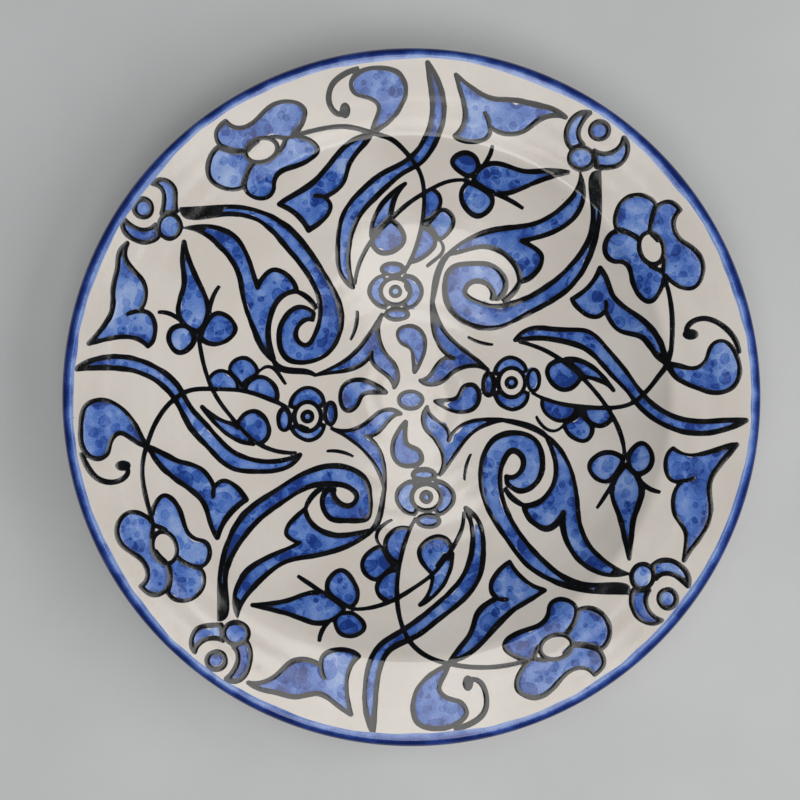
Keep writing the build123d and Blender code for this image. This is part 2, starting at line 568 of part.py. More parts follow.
def vessel():
    """The turned nodes: clay, glaze and the band round the rim."""
    paint_under_lip = coat(front_chain, GLAZE, GLAZE + PAINT, -BAND_UNDER_LIP)
    back = coat(back_chain, 0, GLAZE, 0)
    return {
        "clay_body": clay_body(),
        "front_glaze": coat(front_chain, 0, GLAZE, 0),
        "back_glaze": back & zone(BACK_GLAZE_END, RIM_RADIUS + 5),
        "foot_well_glaze": back & zone(0, WELL_GLAZE_END),
        "rim_band": paint_under_lip & zone(BAND_INNER, RIM_RADIUS + 5),
    }


def save(name, solids):
    """One node, as one file; a node of several brush marks is a group of separate solids."""
    shape = solids[0] if len(solids) == 1 else Compound(solids)
    shape.label = name
    export_step(shape, f"parts/{name}.step")


os.makedirs("parts", exist_ok=True)
for node, part in vessel().items():
    save(node, part.solids())
paint = paint_coat()
for node, faces in ornament().items():
    save(node, [solid for face in faces for solid in laid(face, paint).solids()])
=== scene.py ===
import math

import bpy
import numpy as np
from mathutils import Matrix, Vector


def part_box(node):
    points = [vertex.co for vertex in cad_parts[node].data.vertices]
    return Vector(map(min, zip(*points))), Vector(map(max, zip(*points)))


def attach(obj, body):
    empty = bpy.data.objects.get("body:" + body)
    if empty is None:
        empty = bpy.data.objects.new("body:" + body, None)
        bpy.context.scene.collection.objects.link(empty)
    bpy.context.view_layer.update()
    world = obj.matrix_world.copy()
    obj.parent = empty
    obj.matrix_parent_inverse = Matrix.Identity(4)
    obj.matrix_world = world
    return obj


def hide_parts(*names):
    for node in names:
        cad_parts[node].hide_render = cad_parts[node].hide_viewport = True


# Hand painted ceramic plate: thrown clay, glossy white glaze and brushed blue and black colour,
# built as looks round the CAD frame.  Shapes are worked out in millimetres in the frame's own
# axes, and scaled to metres as each mesh is made.  The brush marks' outlines come from the frame.

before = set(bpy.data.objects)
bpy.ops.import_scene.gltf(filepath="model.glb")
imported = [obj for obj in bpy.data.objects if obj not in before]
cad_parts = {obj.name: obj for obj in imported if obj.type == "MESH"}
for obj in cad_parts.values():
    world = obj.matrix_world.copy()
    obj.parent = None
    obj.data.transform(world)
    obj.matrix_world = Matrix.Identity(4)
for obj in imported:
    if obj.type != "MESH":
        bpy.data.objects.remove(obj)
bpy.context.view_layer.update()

MM = 0.001
SEED = 7

# ---- vessel: the frame's own dimensions, millimetres -------------------------------------------
RIM_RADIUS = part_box("rim_band")[1].x / MM
CLAY = 5.0
GLAZE = 0.5
BAND = 0.3                # colour raised on the glaze at the rim
LIP = CLAY / 2
FLOOR_TOP = 8.5           # front of the clay, at the centre
FLOOR_CURVE = 260.0
FLOOR_EDGE = 63.0
WALL_CURVE = 107.0
WALL_EDGE = 100.0
SHOULDER_CURVE = 9.0
FLANGE_SLOPE = math.radians(12)
BAND_INNER = 130.6
BAND_UNDER_LIP = 0.6      # radians round the underside of the lip
BACK_GLAZE_END = 49.5
WELL_GLAZE_END = 41.5
FOOT_INNER = 43.0
FOOT_OUTER = 48.0
FOOT_DRAFT = 0.8
FOOT_ROUND = 1.0

# ---- hand work, millimetres --------------------------------------------------------------------
SEGMENTS = 512            # steps round a turned surface
RIPPLE = 0.03             # faint rings left by the potter's fingers
RIPPLE_PITCH = 9.0
GRID_PITCH = 0.5          # the brush marks are worked out on a square grid
GRID_HALF = 131.0         # that reaches this far from the middle
BAND_SLOPE = 0.08         # how steeply the rim band thickens from its inner edge
REACH = 4.0               # distances to an outline are worked out this far from it
FAR = 50.0                # stands for any distance beyond that
SUNK = 0.06               # colour reaches this far down into the glaze
COLOUR_EDGE = 0.02        # height of colour above the glaze where a mark ends
COLOUR_SLOPE = 0.03       # and how steeply it rises from there inwards
WASH_RISE = 0.035         # height of colour inside a mark
INK_RISE = 0.045
CUT_GAP = 0.15            # an edge of a wash this close to a brush line was cut by that line

# Half the width of the dark outline round each washed shape.
OUTLINE_HALF = {
    "centre_drops": 0.92, "centre_forks": 0.86, "scroll_ribbons": 1.08, "palmette_leaves": 1.06,
    "rim_leaves": 0.97, "rim_buds": 1.02, "rim_flowers": 0.92, "wall_leaves": 1.03,
    "long_blades": 1.02, "comma_drops": 0.95, "trefoils": 0.98, "berries": 0.92,
    "curled_leaves": 0.96, "rosettes": 0.92, "centre_spot": 0.85,
}
# How much wider each plain brush line is than it is in the frame.
LINE_SPREAD = {
    "stems": 0.14, "comma_curls": 0.12, "leaf_veins": 0.1, "short_dashes": 0.1,
    "scroll_stems": 0.1, "rosette_rings": 0.1, "flower_rings": 0.1,
}
# Out towards the rim the brush filled these shapes solid with line colour, and they thin out.
TIPPED = ["scroll_ribbons", "palmette_leaves"]
SOLID_FROM = 103.0
THIN_FROM, THIN_TO = 97.0, 110.0
TIP_SPREAD = 0.35         # half width of the dark outline at the tip itself
UP = math.pi / 2
DOWN = -math.pi / 2
TINY = 1e-6               # a length too small to count


# ---- section of the vessel ---------------------------------------------------------------------
def along(start, distance, angle):
    return (start[0] + distance * math.cos(angle), start[1] + distance * math.sin(angle))


FLOOR_ANGLE = math.asin(FLOOR_EDGE / FLOOR_CURVE)
FLOOR_CENTRE = (0.0, FLOOR_TOP + FLOOR_CURVE)
WALL_CENTRE = along(FLOOR_CENTRE, FLOOR_CURVE - WALL_CURVE, FLOOR_ANGLE + DOWN)
WALL_ANGLE = math.asin((WALL_EDGE - WALL_CENTRE[0]) / WALL_CURVE)
SHOULDER_CENTRE = along(WALL_CENTRE, WALL_CURVE + SHOULDER_CURVE, WALL_ANGLE + DOWN)
FLANGE_START = along(SHOULDER_CENTRE, SHOULDER_CURVE - LIP, FLANGE_SLOPE + UP)
LIP_RADIUS = RIM_RADIUS - BAND - GLAZE - LIP
FLANGE_LENGTH = (LIP_RADIUS - FLANGE_START[0]) / math.cos(FLANGE_SLOPE)
LIP_CENTRE = along(FLANGE_START, FLANGE_LENGTH, FLANGE_SLOPE)


def arc(centre, radius, first, last, step=1.0):
    """Points along an arc of the section, about a step apart."""
    count = max(3, int(abs(last - first) * radius / step) + 1)
    return [along(centre, radius, angle) for angle in np.linspace(first, last, count)]


def front_run(offset, lip_angle):
    """The front from the axis out over floor, wall, shoulder and flange, and round the lip."""
    floor = arc(FLOOR_CENTRE, FLOOR_CURVE - offset, DOWN, DOWN + FLOOR_ANGLE)
    wall = arc(WALL_CENTRE, WALL_CURVE - offset, DOWN + FLOOR_ANGLE, DOWN + WALL_ANGLE)
    shoulder = arc(SHOULDER_CENTRE, SHOULDER_CURVE + offset, UP + WALL_ANGLE, UP + FLANGE_SLOPE,
                   step=0.4)
    lip = arc(LIP_CENTRE, LIP + offset, UP + FLANGE_SLOPE, lip_angle, step=0.2)
    flange = np.linspace(shoulder[-1], lip[0], 30)[1:-1]
    return [*floor, *wall[1:], *shoulder[1:], *map(tuple, flange), *lip]


def back_run(offset):
    """The back from the middle of the lip in to the axis."""
    depth = CLAY + offset
    lip = arc(LIP_CENTRE, LIP + offset, 0, DOWN + FLANGE_SLOPE, step=0.2)
    shoulder = arc(SHOULDER_CENTRE, SHOULDER_CURVE - depth, UP + FLANGE_SLOPE, UP + WALL_ANGLE,
                   step=0.3)
    wall = arc(WALL_CENTRE, WALL_CURVE + depth, DOWN + WALL_ANGLE, DOWN + FLOOR_ANGLE)
    floor = arc(FLOOR_CENTRE, FLOOR_CURVE + depth, DOWN + FLOOR_ANGLE, DOWN)
    flange = np.linspace(lip[-1], shoulder[0], 30)[1:-1]
    return [*lip, *map(tuple, flange), *shoulder, *wall[1:], *floor[1:]]


def cut(run, inner, outer):
    """The part of a run between two radii, with its ends exactly on them."""
    kept = []
    for (r0, z0), (r1, z1) in zip(run, run[1:]):
        for limit in sorted((inner, outer), reverse=r1 < r0):
            if min(r0, r1) < limit < max(r0, r1):
                kept.append((limit, z0 + (z1 - z0) * (limit - r0) / (r1 - r0)))
        if inner <= r1 <= outer:
            kept.append((r1, z1))
    if inner <= run[0][0] <= outer:
        kept.insert(0, run[0])
    return kept


# ---- hand noise --------------------------------------------------------------------------------
class Wander:
    """Smooth repeatable noise over the plate, about -1 to 1: waves in seeded directions."""

    def __init__(self, seed, size, waves=9):
        dice = np.random.default_rng(SEED + seed)
        angle = dice.uniform(0, 2 * math.pi, waves)
        pitch = size * dice.uniform(0.6, 1.6, waves)
        self.waves = list(zip(2 * math.pi * np.cos(angle) / pitch,
                              2 * math.pi * np.sin(angle) / pitch,
                              dice.uniform(0, 2 * math.pi, waves)))

    def __call__(self, x, y):
        total = sum(np.sin(fx * x + fy * y + shift) for fx, fy, shift in self.waves)
        return total * 0.8 / math.sqrt(len(self.waves))


# ---- the glazed front as a surface -------------------------------------------------------------
FRONT = np.array(front_run(GLAZE, UP))


def ripple(x, y):
    """Height the potter's fingers add: faint spiral rings that fade at the centre and rim."""
    radius = np.hypot(x, y)
    fade = np.clip((RIM_RADIUS - 7 - radius) / 10, 0, 1) * np.clip(radius / 20, 0, 1)
    wave = 2 * math.pi * radius / RIPPLE_PITCH + np.arctan2(y, x) + 0.8 * np.sin(radius / 23)
    return RIPPLE * fade * np.sin(wave)


def front_height(x, y):
    return np.interp(np.hypot(x, y), FRONT[:, 0], FRONT[:, 1]) + ripple(x, y)


def front_normal(x, y, step=0.2):
    slope_x = (front_height(x + step, y) - front_height(x - step, y)) / (2 * step)
    slope_y = (front_height(x, y + step) - front_height(x, y - step)) / (2 * step)
    steep = np.sqrt(slope_x ** 2 + slope_y ** 2 + 1)
    return np.stack([-slope_x / steep, -slope_y / steep, 1 / steep], 1)


# ---- meshes ------------------------------------------------------------------------------------
def make_piece(name, points, faces, look, values=None, sharp=40, stands_for=()):
    """A mesh piece on the plate's one body.  points are millimetres; values are per point."""
    mesh = bpy.data.meshes.new(name)
    mesh.from_pydata((np.asarray(points) * MM).tolist(), [], faces)
    for key, numbers in (values or {}).items():
        layer = mesh.attributes.new(key, "FLOAT", "POINT")
        layer.data.foreach_set("value", np.asarray(numbers, dtype=np.float32))
    mesh.shade_smooth()
    mesh.set_sharp_from_angle(angle=math.radians(sharp))
    mesh.materials.append(look)
    piece = bpy.data.objects.new(name, mesh)
    bpy.context.scene.collection.objects.link(piece)
    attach(piece, "root")
    if stands_for:
        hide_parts(*stands_for)
    return piece


def turn(rows):
    """Points and faces of a closed turned solid.  Each row holds the radius and height of one
    ring, as numbers or as arrays with a value for each step round; a row on the axis is a single
    point.  Rows run out over the top and back along the underside."""
    steps = np.arange(SEGMENTS) * 2 * math.pi / SEGMENTS
    points, rings = [], []
    for radius, height in rows:
        first = len(points)
        if np.max(radius) < TINY:
            points.append((0.0, 0.0, float(np.mean(height))))
            rings.append([first] * SEGMENTS)
            continue
        height = np.broadcast_to(height, steps.shape)
        points += list(zip(radius * np.cos(steps), radius * np.sin(steps), height))
        rings.append(list(range(first, first + SEGMENTS)))
    faces = []
    for near, far in zip(rings, rings[1:] + rings[:1]):
        for step in range(SEGMENTS):
            after = (step + 1) % SEGMENTS
            face = list(dict.fromkeys([near[step], far[step], far[after], near[after]]))
            if len(face) > 2:
                faces.append(face)
    return points, faces


def rippled(run):
    """Rows of a run with the potter's ripple added."""
    steps = np.arange(SEGMENTS) * 2 * math.pi / SEGMENTS
    return [(radius, height + ripple(radius * np.cos(steps), radius * np.sin(steps)))
            for radius, height in run]


def thrown_clay(look):
    """The fired body: wall, half-round lip and foot ring in one."""
    back = back_run(0)
    outside = cut(back, FOOT_OUTER + FOOT_DRAFT, RIM_RADIUS)
    inside = cut(back, 0, FOOT_INNER - FOOT_DRAFT)
    foot_out = arc((FOOT_OUTER - FOOT_ROUND, FOOT_ROUND), FOOT_ROUND, 0, DOWN, step=0.2)
    foot_in = arc((FOOT_INNER + FOOT_ROUND, FOOT_ROUND), FOOT_ROUND, DOWN, -math.pi, step=0.2)
    run = [*front_run(0, 0)[:-1], *outside, *foot_out, *foot_in, *inside]
    points, faces = turn(run)
    make_piece("thrown_clay", points, faces, look, stands_for=["clay_body"])


def glaze_coats(look):
    """Front glaze to the middle of the lip, back glaze to the foot, and glaze under the floor."""
    front = rippled(front_run(GLAZE, 0)) + front_run(0, 0)[::-1]
    back = back_run(0)
    outer_back = back_run(GLAZE)
    edge = RIM_RADIUS + CLAY
    under_back = cut(back, BACK_GLAZE_END, edge)[::-1] + cut(outer_back, BACK_GLAZE_END, edge)
    under_well = cut(back, 0, WELL_GLAZE_END)[::-1] + cut(outer_back, 0, WELL_GLAZE_END)
    for name, node, run in (("glazed_front", "front_glaze", front),
                            ("glazed_back", "back_glaze", under_back),
                            ("glazed_foot_well", "foot_well_glaze", under_well)):
        points, faces = turn(run)
        make_piece(name, points, faces, look, stands_for=[node])


def band_start(x, y):
    """Radius where the painted rim starts, in the direction of a point.  It wanders."""
    out = RIM_RADIUS / np.maximum(np.hypot(x, y), TINY)
    wander = 0.55 * Wander(31, 60)(x * out, y * out) + 0.2 * Wander(32, 14)(x * out, y * out)
    return BAND_INNER - 0.3 + wander


def painted_rim(look):
    """The blue band over the lip.  Its inner edge wanders and thins as the brush did."""
    steps = np.arange(SEGMENTS) * 2 * math.pi / SEGMENTS
    x, y = RIM_RADIUS * np.cos(steps), RIM_RADIUS * np.sin(steps)
    inner = band_start(x, y)
    under = -BAND_UNDER_LIP - 0.12 * Wander(33, 40)(x, y)
    # The first half of the share runs over the flat flange, the second round the lip.
    shares = np.concatenate([np.linspace(0, 0.5, 14), np.linspace(0.5, 1, 30)[1:]])
    flat_end = LIP_CENTRE[0] - (LIP + GLAZE) * math.sin(FLANGE_SLOPE)
    top, bottom, inward = [], [], []
    for share in shares:
        if share < 0.5:
            flat = inner + (flat_end - inner) * share * 2
            height = np.interp(flat, FRONT[:, 0], FRONT[:, 1])
            spot = (flat, height)
            lean = UP + FLANGE_SLOPE
            from_edge = (flat - inner) / math.cos(FLANGE_SLOPE)
        else:
            lean = UP + FLANGE_SLOPE + (under - UP - FLANGE_SLOPE) * (share - 0.5) * 2
            radius = LIP_CENTRE[0] + (LIP + GLAZE) * np.cos(lean)
            spot = (radius, LIP_CENTRE[1] + (LIP + GLAZE) * np.sin(lean))
            from_edge = flat_end - inner + (LIP + GLAZE) * (UP + FLANGE_SLOPE - lean)
        thinning_out = min(1.0, (1 - share) * 12 + 0.1)
        rise = np.minimum(COLOUR_EDGE + from_edge * BAND_SLOPE, BAND) * thinning_out
        top.append((spot[0] + rise * np.cos(lean), spot[1] + rise * np.sin(lean)))
        bottom.append((spot[0] - SUNK * np.cos(lean), spot[1] - SUNK * np.sin(lean)))
        inward.append(from_edge)
    points, faces = turn(top + bottom[::-1])
    reach = np.concatenate([np.broadcast_to(value, steps.shape) for value in inward])
    back_reach = np.concatenate([np.broadcast_to(value, steps.shape) for value in inward[::-1]])
    make_piece("painted_rim", points, faces, look,
               values={"inward": np.concatenate([reach, back_reach])}, stands_for=["rim_band"])


# ---- brush marks on a grid ---------------------------------------------------------------------
# A mark is a field over the grid, negative inside it.  Where the field passes zero the mark ends,
# so its edge is as smooth as the field and neighbours that share a field fit without a gap.
CORNERS = [(0, 0), (0, 1), (1, 1), (1, 0)]    # of a cell, as (row, column), anticlockwise


class Grid:
    def __init__(self):
        self.line = np.arange(-GRID_HALF, GRID_HALF + GRID_PITCH / 2, GRID_PITCH)
        self.size = len(self.line)
        self.x, self.y = np.meshgrid(self.line, self.line)

    def window(self, low, high):
        """Index of the part of the grid that covers a box."""
        first = np.clip(((low - self.line[0]) / GRID_PITCH).astype(int), 0, self.size - 2)
        last = np.clip(((high - self.line[0]) / GRID_PITCH).astype(int) + 2, 2, self.size)
        return slice(first[1], last[1]), slice(first[0], last[0])

    def sample(self, field, spots):
        """Values of a field at points between the grid's own."""
        at = (spots - self.line[0]) / GRID_PITCH
        column, row = np.clip(at.astype(int), 0, self.size - 2).T
        right, up = at[:, 0] - column, at[:, 1] - row
        low = field[row, column] * (1 - right) + field[row, column + 1] * right
        high = field[row + 1, column] * (1 - right) + field[row + 1, column + 1] * right
        return low * (1 - up) + high * up

    def corners(self, field):
        """A field's values at the four corners of every cell."""
        n = self.size - 1
        return np.stack([field[up:n + up, right:n + right] for up, right in CORNERS])

    def owners(self, fields):
        """For every cell, which of several fields is lowest at the cell's lowest corner."""
        stack = np.stack(fields)
        corner = self.corners(stack.min(0)).argmin(0)[None]
        return np.take_along_axis(self.corners(stack.argmin(0)), corner, 0)[0]


def outlines(node):
    """Closed outlines of the brush marks in a CAD node: the edges of its upward faces."""
    numbers, spots = {}, []
    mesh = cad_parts[node].data
    merged = []
    for vertex in mesh.vertices:
        key = tuple(round(value / MM, 3) for value in vertex.co)
        if key not in numbers:
            numbers[key] = len(spots)
            spots.append(key[:2])
        merged.append(numbers[key])
    edges = set()
    for face in mesh.polygons:
        if face.normal.z > 0.3:
            ring = [merged[index] for index in face.vertices]
            edges.update((a, b) for a, b in zip(ring, ring[1:] + ring[:1]) if a != b)
    onward = {}
    for a, b in sorted(edges):
        if (b, a) not in edges:
            onward.setdefault(a, []).append(b)
    loops = []
    while onward:
        here = next(iter(onward))
        loop = []
        while here in onward:
            loop.append(spots[here])
            ahead = onward[here].pop()
            if not onward[here]:
                del onward[here]
            here = ahead
        loops.append(np.array(loop))
    return [loop for loop in loops if len(loop) > 3]


class Marks:
    """All brush marks of one CAD node on the grid: distance to any edge, distance to the edges
    that were drawn, and which points lie inside.  An edge is not a drawn one where a brush line
    has cut the shape."""

    def __init__(self, grid, node, brush_lines=None, seed=0):
        shape = grid.x.shape
        self.edge = np.full(shape, FAR)
        self.drawn = np.full(shape, FAR)
        self.inside = np.zeros(shape, bool)
        self.shade = np.zeros(shape)
        dice = np.random.default_rng(SEED + seed)
        for loop in outlines(node):
            after = np.roll(loop, -1, axis=0)
            own = np.ones(len(loop), bool)
            if brush_lines is not None:
                own = np.abs(grid.sample(brush_lines, (loop + after) / 2)) > CUT_GAP
            part = grid.window(loop.min(0) - REACH, loop.max(0) + REACH)
            filled = self._trace(grid.x[part], grid.y[part], loop, after, own, part)
            self.inside[part] ^= filled
            self.shade[part][filled] = dice.uniform(-1, 1)

    def _trace(self, x, y, starts, ends, own, part):
        filled = np.zeros(x.shape, bool)
        edge, drawn = np.full(x.shape, FAR ** 2), np.full(x.shape, FAR ** 2)
        for (ax, ay), (bx, by), outline in zip(starts, ends, own):
            run_x, run_y = bx - ax, by - ay
            length = max(run_x ** 2 + run_y ** 2, TINY)
            share = np.clip(((x - ax) * run_x + (y - ay) * run_y) / length, 0, 1)
            gap = (x - ax - share * run_x) ** 2 + (y - ay - share * run_y) ** 2
            np.minimum(edge, gap, out=edge)
            if outline:
                np.minimum(drawn, gap, out=drawn)
            if ay != by:
                filled ^= ((ay > y) != (by > y)) & (x < run_x * (y - ay) / run_y + ax)
        self.edge[part] = np.minimum(self.edge[part], np.sqrt(edge))
        self.drawn[part] = np.minimum(self.drawn[part], np.sqrt(drawn))
        return filled

    def signed(self):
        return np.where(self.inside, -self.edge, self.edge)


def cell_polygons(grid, inside, owned):
    """The polygons of the inside area in the owned cells, as rows of point numbers, a block for
    each kind of cell.  A number below the grid's point count is a grid point; one in the next
    count is a crossing on the level edge from that point, and in the third on the upright one."""
    total = grid.size ** 2
    kind = (grid.corners(inside) * np.array([1, 2, 4, 8])[:, None, None]).sum(0)
    kind[~owned] = 0
    blocks = []
    for mask in range(1, 16):
        row, column = np.nonzero(kind == mask)
        if not len(row):
            continue
        corner = [(row + up) * grid.size + column + right for up, right in CORNERS]
        crossing = [total + corner[0], 2 * total + corner[1], total + corner[3],
                    2 * total + corner[0]]
        ring = []
        for bit in range(4):
            if mask >> bit & 1:
                ring.append(corner[bit])
            if (mask >> bit & 1) != (mask >> (bit + 1) % 4 & 1):
                ring.append(crossing[bit])
        blocks.append(np.stack(ring, 1))
    return blocks


def free_edges(blocks, count):
    """Directed edges that only one polygon has, as pairs of point numbers."""
    pairs = np.concatenate([np.stack([block, np.roll(block, -1, axis=1)], 2).reshape(-1, 2)
                            for block in blocks])
    forward = pairs[:, 0] * count + pairs[:, 1]
    backward = pairs[:, 1] * count + pairs[:, 0]
    return pairs[~np.isin(forward, backward)]


def split_pinches(blocks, count):
    """Gives each fan of polygons its own point where two fans meet at a point only, so that no
    upright edge of the solid is shared by four walls.  Returns the copied points' numbers."""
    starts = free_edges(blocks, count)[:, 0]
    pinched, times = np.unique(starts, return_counts=True)
    copied = []
    for point in pinched[times > 1]:
        around = [(block, row) for block in blocks for row in np.nonzero(block == point)[0]]
        fans = []
        for block, row in around:
            ring = set(block[row].tolist()) - {point}
            touching = [fan for fan in fans if fan[0] & ring]
            merged = (ring.union(*[fan[0] for fan in touching]),
                      [(block, row)] + [entry for fan in touching for entry in fan[1]])
            fans = [fan for fan in fans if not fan[0] & ring] + [merged]
        for _, entries in fans[1:]:
            for block, row in entries:
                block[row][block[row] == point] = count + len(copied)
            copied.append(point)
    return np.array(copied, dtype=int)


def lay_mark(grid, name, field, owned, rise, layers, look, stands_for=()):
    """A thin closed solid on the glaze over the owned cells where field < 0: a top that rises
    from its edge inwards, a bottom sunk into the glaze, and walls between them.  layers are
    fields stored on its points."""
    blocks = cell_polygons(grid, field < 0, owned)
    used = np.unique(np.concatenate([block.ravel() for block in blocks]))
    blocks = [np.searchsorted(used, block) for block in blocks]
    used = np.concatenate([used, used[split_pinches(blocks, len(used))]])
    total = grid.size ** 2
    kind, at = np.divmod(used, total)
    other = at + np.choose(kind, [0, 1, grid.size])
    values = field.ravel()
    fall = np.where(kind == 0, 1, values[at] - values[other])
    share = np.where(kind == 0, 0, np.clip(values[at] / fall, 0.04, 0.96))

    def blend(numbers):
        flat = numbers.ravel()
        return flat[at] * (1 - share) + flat[other] * share

    x, y, inward = blend(grid.x), blend(grid.y), -blend(field)
    base = np.stack([x, y, front_height(x, y)], 1)
    normal = front_normal(x, y)
    height = np.clip(COLOUR_EDGE + COLOUR_SLOPE * inward, COLOUR_EDGE, rise)
    points = np.concatenate([base + normal * height[:, None], base - normal * SUNK])
    count = len(used)
    faces = [row for block in blocks for row in block.tolist()]
    faces += [[index + count for index in face[::-1]] for face in faces]
    faces += [[b, a, a + count, b + count] for a, b in free_edges(blocks, count).tolist()]
    stored = {key: np.tile(blend(numbers), 2) for key, numbers in layers.items()}
    make_piece(name, points, faces, look, values=stored, sharp=35, stands_for=stands_for)


# ---- the ornament ------------------------------------------------------------------------------
def brush_ornament(wash_look, ink_look):
    """Every brushed node, as a washed blue area with its own dark outline, or as a dark line."""
    grid = Grid()
    width_noise = Wander(11, 24)(grid.x, grid.y) * 0.16 + Wander(12, 5)(grid.x, grid.y) * 0.07
    line_marks = {node: Marks(grid, node).signed() for node in LINE_SPREAD}
    lines = np.min(list(line_marks.values()), axis=0)
    washes = {node: Marks(grid, node, lines, seed)
              for seed, node in enumerate(OUTLINE_HALF, start=100)}

    radius = np.hypot(grid.x, grid.y)
    inks = {f"{node}_outline": marks.drawn - OUTLINE_HALF[node] * (1 + width_noise)
            for node, marks in washes.items()}
    limits = {}
    for node in TIPPED:
        shape = washes[node].signed()
        spread = np.interp(radius, [THIN_FROM, THIN_TO], [OUTLINE_HALF[node], TIP_SPREAD])
        limits[node] = np.where(radius > THIN_FROM, shape - spread, -FAR)
        tipped = np.minimum(inks[f"{node}_outline"], np.maximum(shape, SOLID_FROM - radius))
        inks[f"{node}_outline"] = np.maximum(tipped, limits[node])
    inks.update({f"{node}_line": field - LINE_SPREAD[node] - 0.5 * width_noise
                 for node, field in line_marks.items()})
    under_band = radius - band_start(grid.x, grid.y)
    ink = np.maximum(np.min(list(inks.values()), axis=0), under_band)

    # A wash was filled in by eye: mostly it ends under its outline, here and there it stops
    # short of it or runs past it.
    stray = 0.1 + 0.75 * Wander(21, 11)(grid.x, grid.y) + 0.3 * Wander(22, 3)(grid.x, grid.y)
    under_line = lines < LINE_SPREAD["stems"]
    areas = {node: np.where(marks.inside | under_line, -marks.drawn, marks.drawn) + stray
             for node, marks in washes.items()}
    for node, limit in limits.items():
        areas[node] = np.maximum(areas[node], limit)
    wash = np.maximum.reduce([np.min(list(areas.values()), axis=0), -ink, under_band])
    load = wash_load(grid, washes)

    ink_owner = grid.owners(list(inks.values()))
    for number, name in enumerate(inks):
        node = name.removesuffix("_line")
        lay_mark(grid, name, ink, ink_owner == number, INK_RISE, {"inward": -ink}, ink_look,
                 stands_for=[node] if node in LINE_SPREAD else [])
    wash_owner = grid.owners([marks.signed() for marks in washes.values()])
    for number, node in enumerate(washes):
        lay_mark(grid, f"{node}_wash", wash, wash_owner == number, WASH_RISE,
                 {"inward": ink, "load": load}, wash_look, stands_for=[node])


def wash_load(grid, washes):
    """How much colour the brush left, about 0 to 1: its own amount in each shape, more where the
    brush rested."""
    load = 0.4 + 0.22 * Wander(41, 34)(grid.x, grid.y) + 0.14 * Wander(42, 10)(grid.x, grid.y)
    for marks in washes.values():
        load = load + 0.16 * marks.shade
    return load


# ---- looks -------------------------------------------------------------------------------------
class Look:
    """A node material, built one node at a time.  Sizes are in millimetres on the object."""

    def __init__(self, name):
        self.material = bpy.data.materials.new(name)
        self.material.use_nodes = True
        self.tree = self.material.node_tree
        self.surface = self.tree.nodes["Principled BSDF"]
        self.place = self.add("ShaderNodeTexCoord").outputs["Object"]

    def add(self, kind, inputs=None, **settings):
        node = self.tree.nodes.new(kind)
        for key, value in settings.items():
            setattr(node, key, value)
        for key, value in (inputs or {}).items():
            self.put(node.inputs[key], value)
        return node

    def put(self, socket, value):
        if isinstance(value, bpy.types.NodeSocket):
            self.tree.links.new(value, socket)
        else:
            socket.default_value = value

    def noise(self, size, detail=2.0, place=None):
        inputs = {"Vector": place or self.place, "Scale": 1 / (size * MM), "Detail": detail}
        return self.add("ShaderNodeTexNoise", inputs).outputs["Fac"]

    def cells(self, size, output="Distance", feature="F1", place=None):
        inputs = {"Vector": place or self.place, "Scale": 1 / (size * MM)}
        return self.add("ShaderNodeTexVoronoi", inputs, feature=feature).outputs[output]

    def swayed(self, size, amount):
        """The object's coordinates, pushed about by noise."""
        inputs = {"Vector": self.place, "Scale": 1 / (size * MM), "Detail": 2.0}
        sway = self.add("ShaderNodeTexNoise", inputs).outputs["Color"]
        middle = self.add("ShaderNodeVectorMath", {0: sway, 1: (0.5, 0.5, 0.5)},
                          operation="SUBTRACT").outputs[0]
        push = self.add("ShaderNodeVectorMath", {0: middle, "Scale": amount * MM},
                        operation="SCALE").outputs[0]
        return self.add("ShaderNodeVectorMath", {0: self.place, 1: push}).outputs[0]

    def dabs(self, size):
        """Colour left by round overlapping dabs: more in some than in others, and most of all in
        a crisp rim round each."""
        place = self.swayed(size, size * 0.25)
        own = self.add("ShaderNodeSeparateColor", {"Color": self.cells(size, "Color", place=place)})
        reach = self.fit(own.outputs[0], 0.0, 1.0, 0.28, 0.62)
        inward = self.calc("SUBTRACT", reach, self.cells(size, place=place))
        amount = self.fit(own.outputs[1], 0.0, 1.0, -0.1, 0.3)
        amount = self.calc("ADD", amount, self.fit(inward, 0.0, 0.1, 0.12, 0.0))
        return self.calc("MULTIPLY", amount, self.fit(inward, -0.01, 0.02))

    def calc(self, operation, a, b=0.0):
        return self.add("ShaderNodeMath", {0: a, 1: b}, operation=operation).outputs[0]

    def fit(self, value, low, high, to_low=0.0, to_high=1.0):
        inputs = {"Value": value, "From Min": low, "From Max": high, "To Min": to_low,
                  "To Max": to_high}
        return self.add("ShaderNodeMapRange", inputs, interpolation_type="SMOOTHSTEP").outputs[0]

    def stored(self, name):
        return self.add("ShaderNodeAttribute", attribute_name=name).outputs["Fac"]

    def ramp(self, value, stops):
        node = self.add("ShaderNodeValToRGB", {"Fac": value})
        ramp = node.color_ramp
        while len(ramp.elements) < len(stops):
            ramp.elements.new(1.0)
        for element, (position, colour) in zip(ramp.elements, stops):
            element.position = position
            element.color = (*colour, 1.0)
        return node.outputs["Color"]

    def mix(self, share, a, b):
        node = self.add("ShaderNodeMix", data_type="RGBA")
        for socket, value in zip((node.inputs[0], node.inputs[6], node.inputs[7]), (share, a, b)):
            self.put(socket, (*value, 1.0) if isinstance(value, tuple) else value)
        return node.outputs[2]

    def finish(self, colour, roughness, height=None, depth=0.02, coat=0.0):
        """Puts the finish on the surface; height is a bump pattern, depth millimetres deep."""
        self.put(self.surface.inputs["Base Color"], colour)
        self.put(self.surface.inputs["Roughness"], roughness)
        self.put(self.surface.inputs["Coat Weight"], coat)
        self.put(self.surface.inputs["Coat Roughness"], 0.12)
        if height is not None:
            inputs = {"Height": height, "Distance": depth * MM, "Strength": 1.0}
            bump = self.add("ShaderNodeBump", inputs)
            self.put(self.surface.inputs["Normal"], bump.outputs["Normal"])
        return self.material


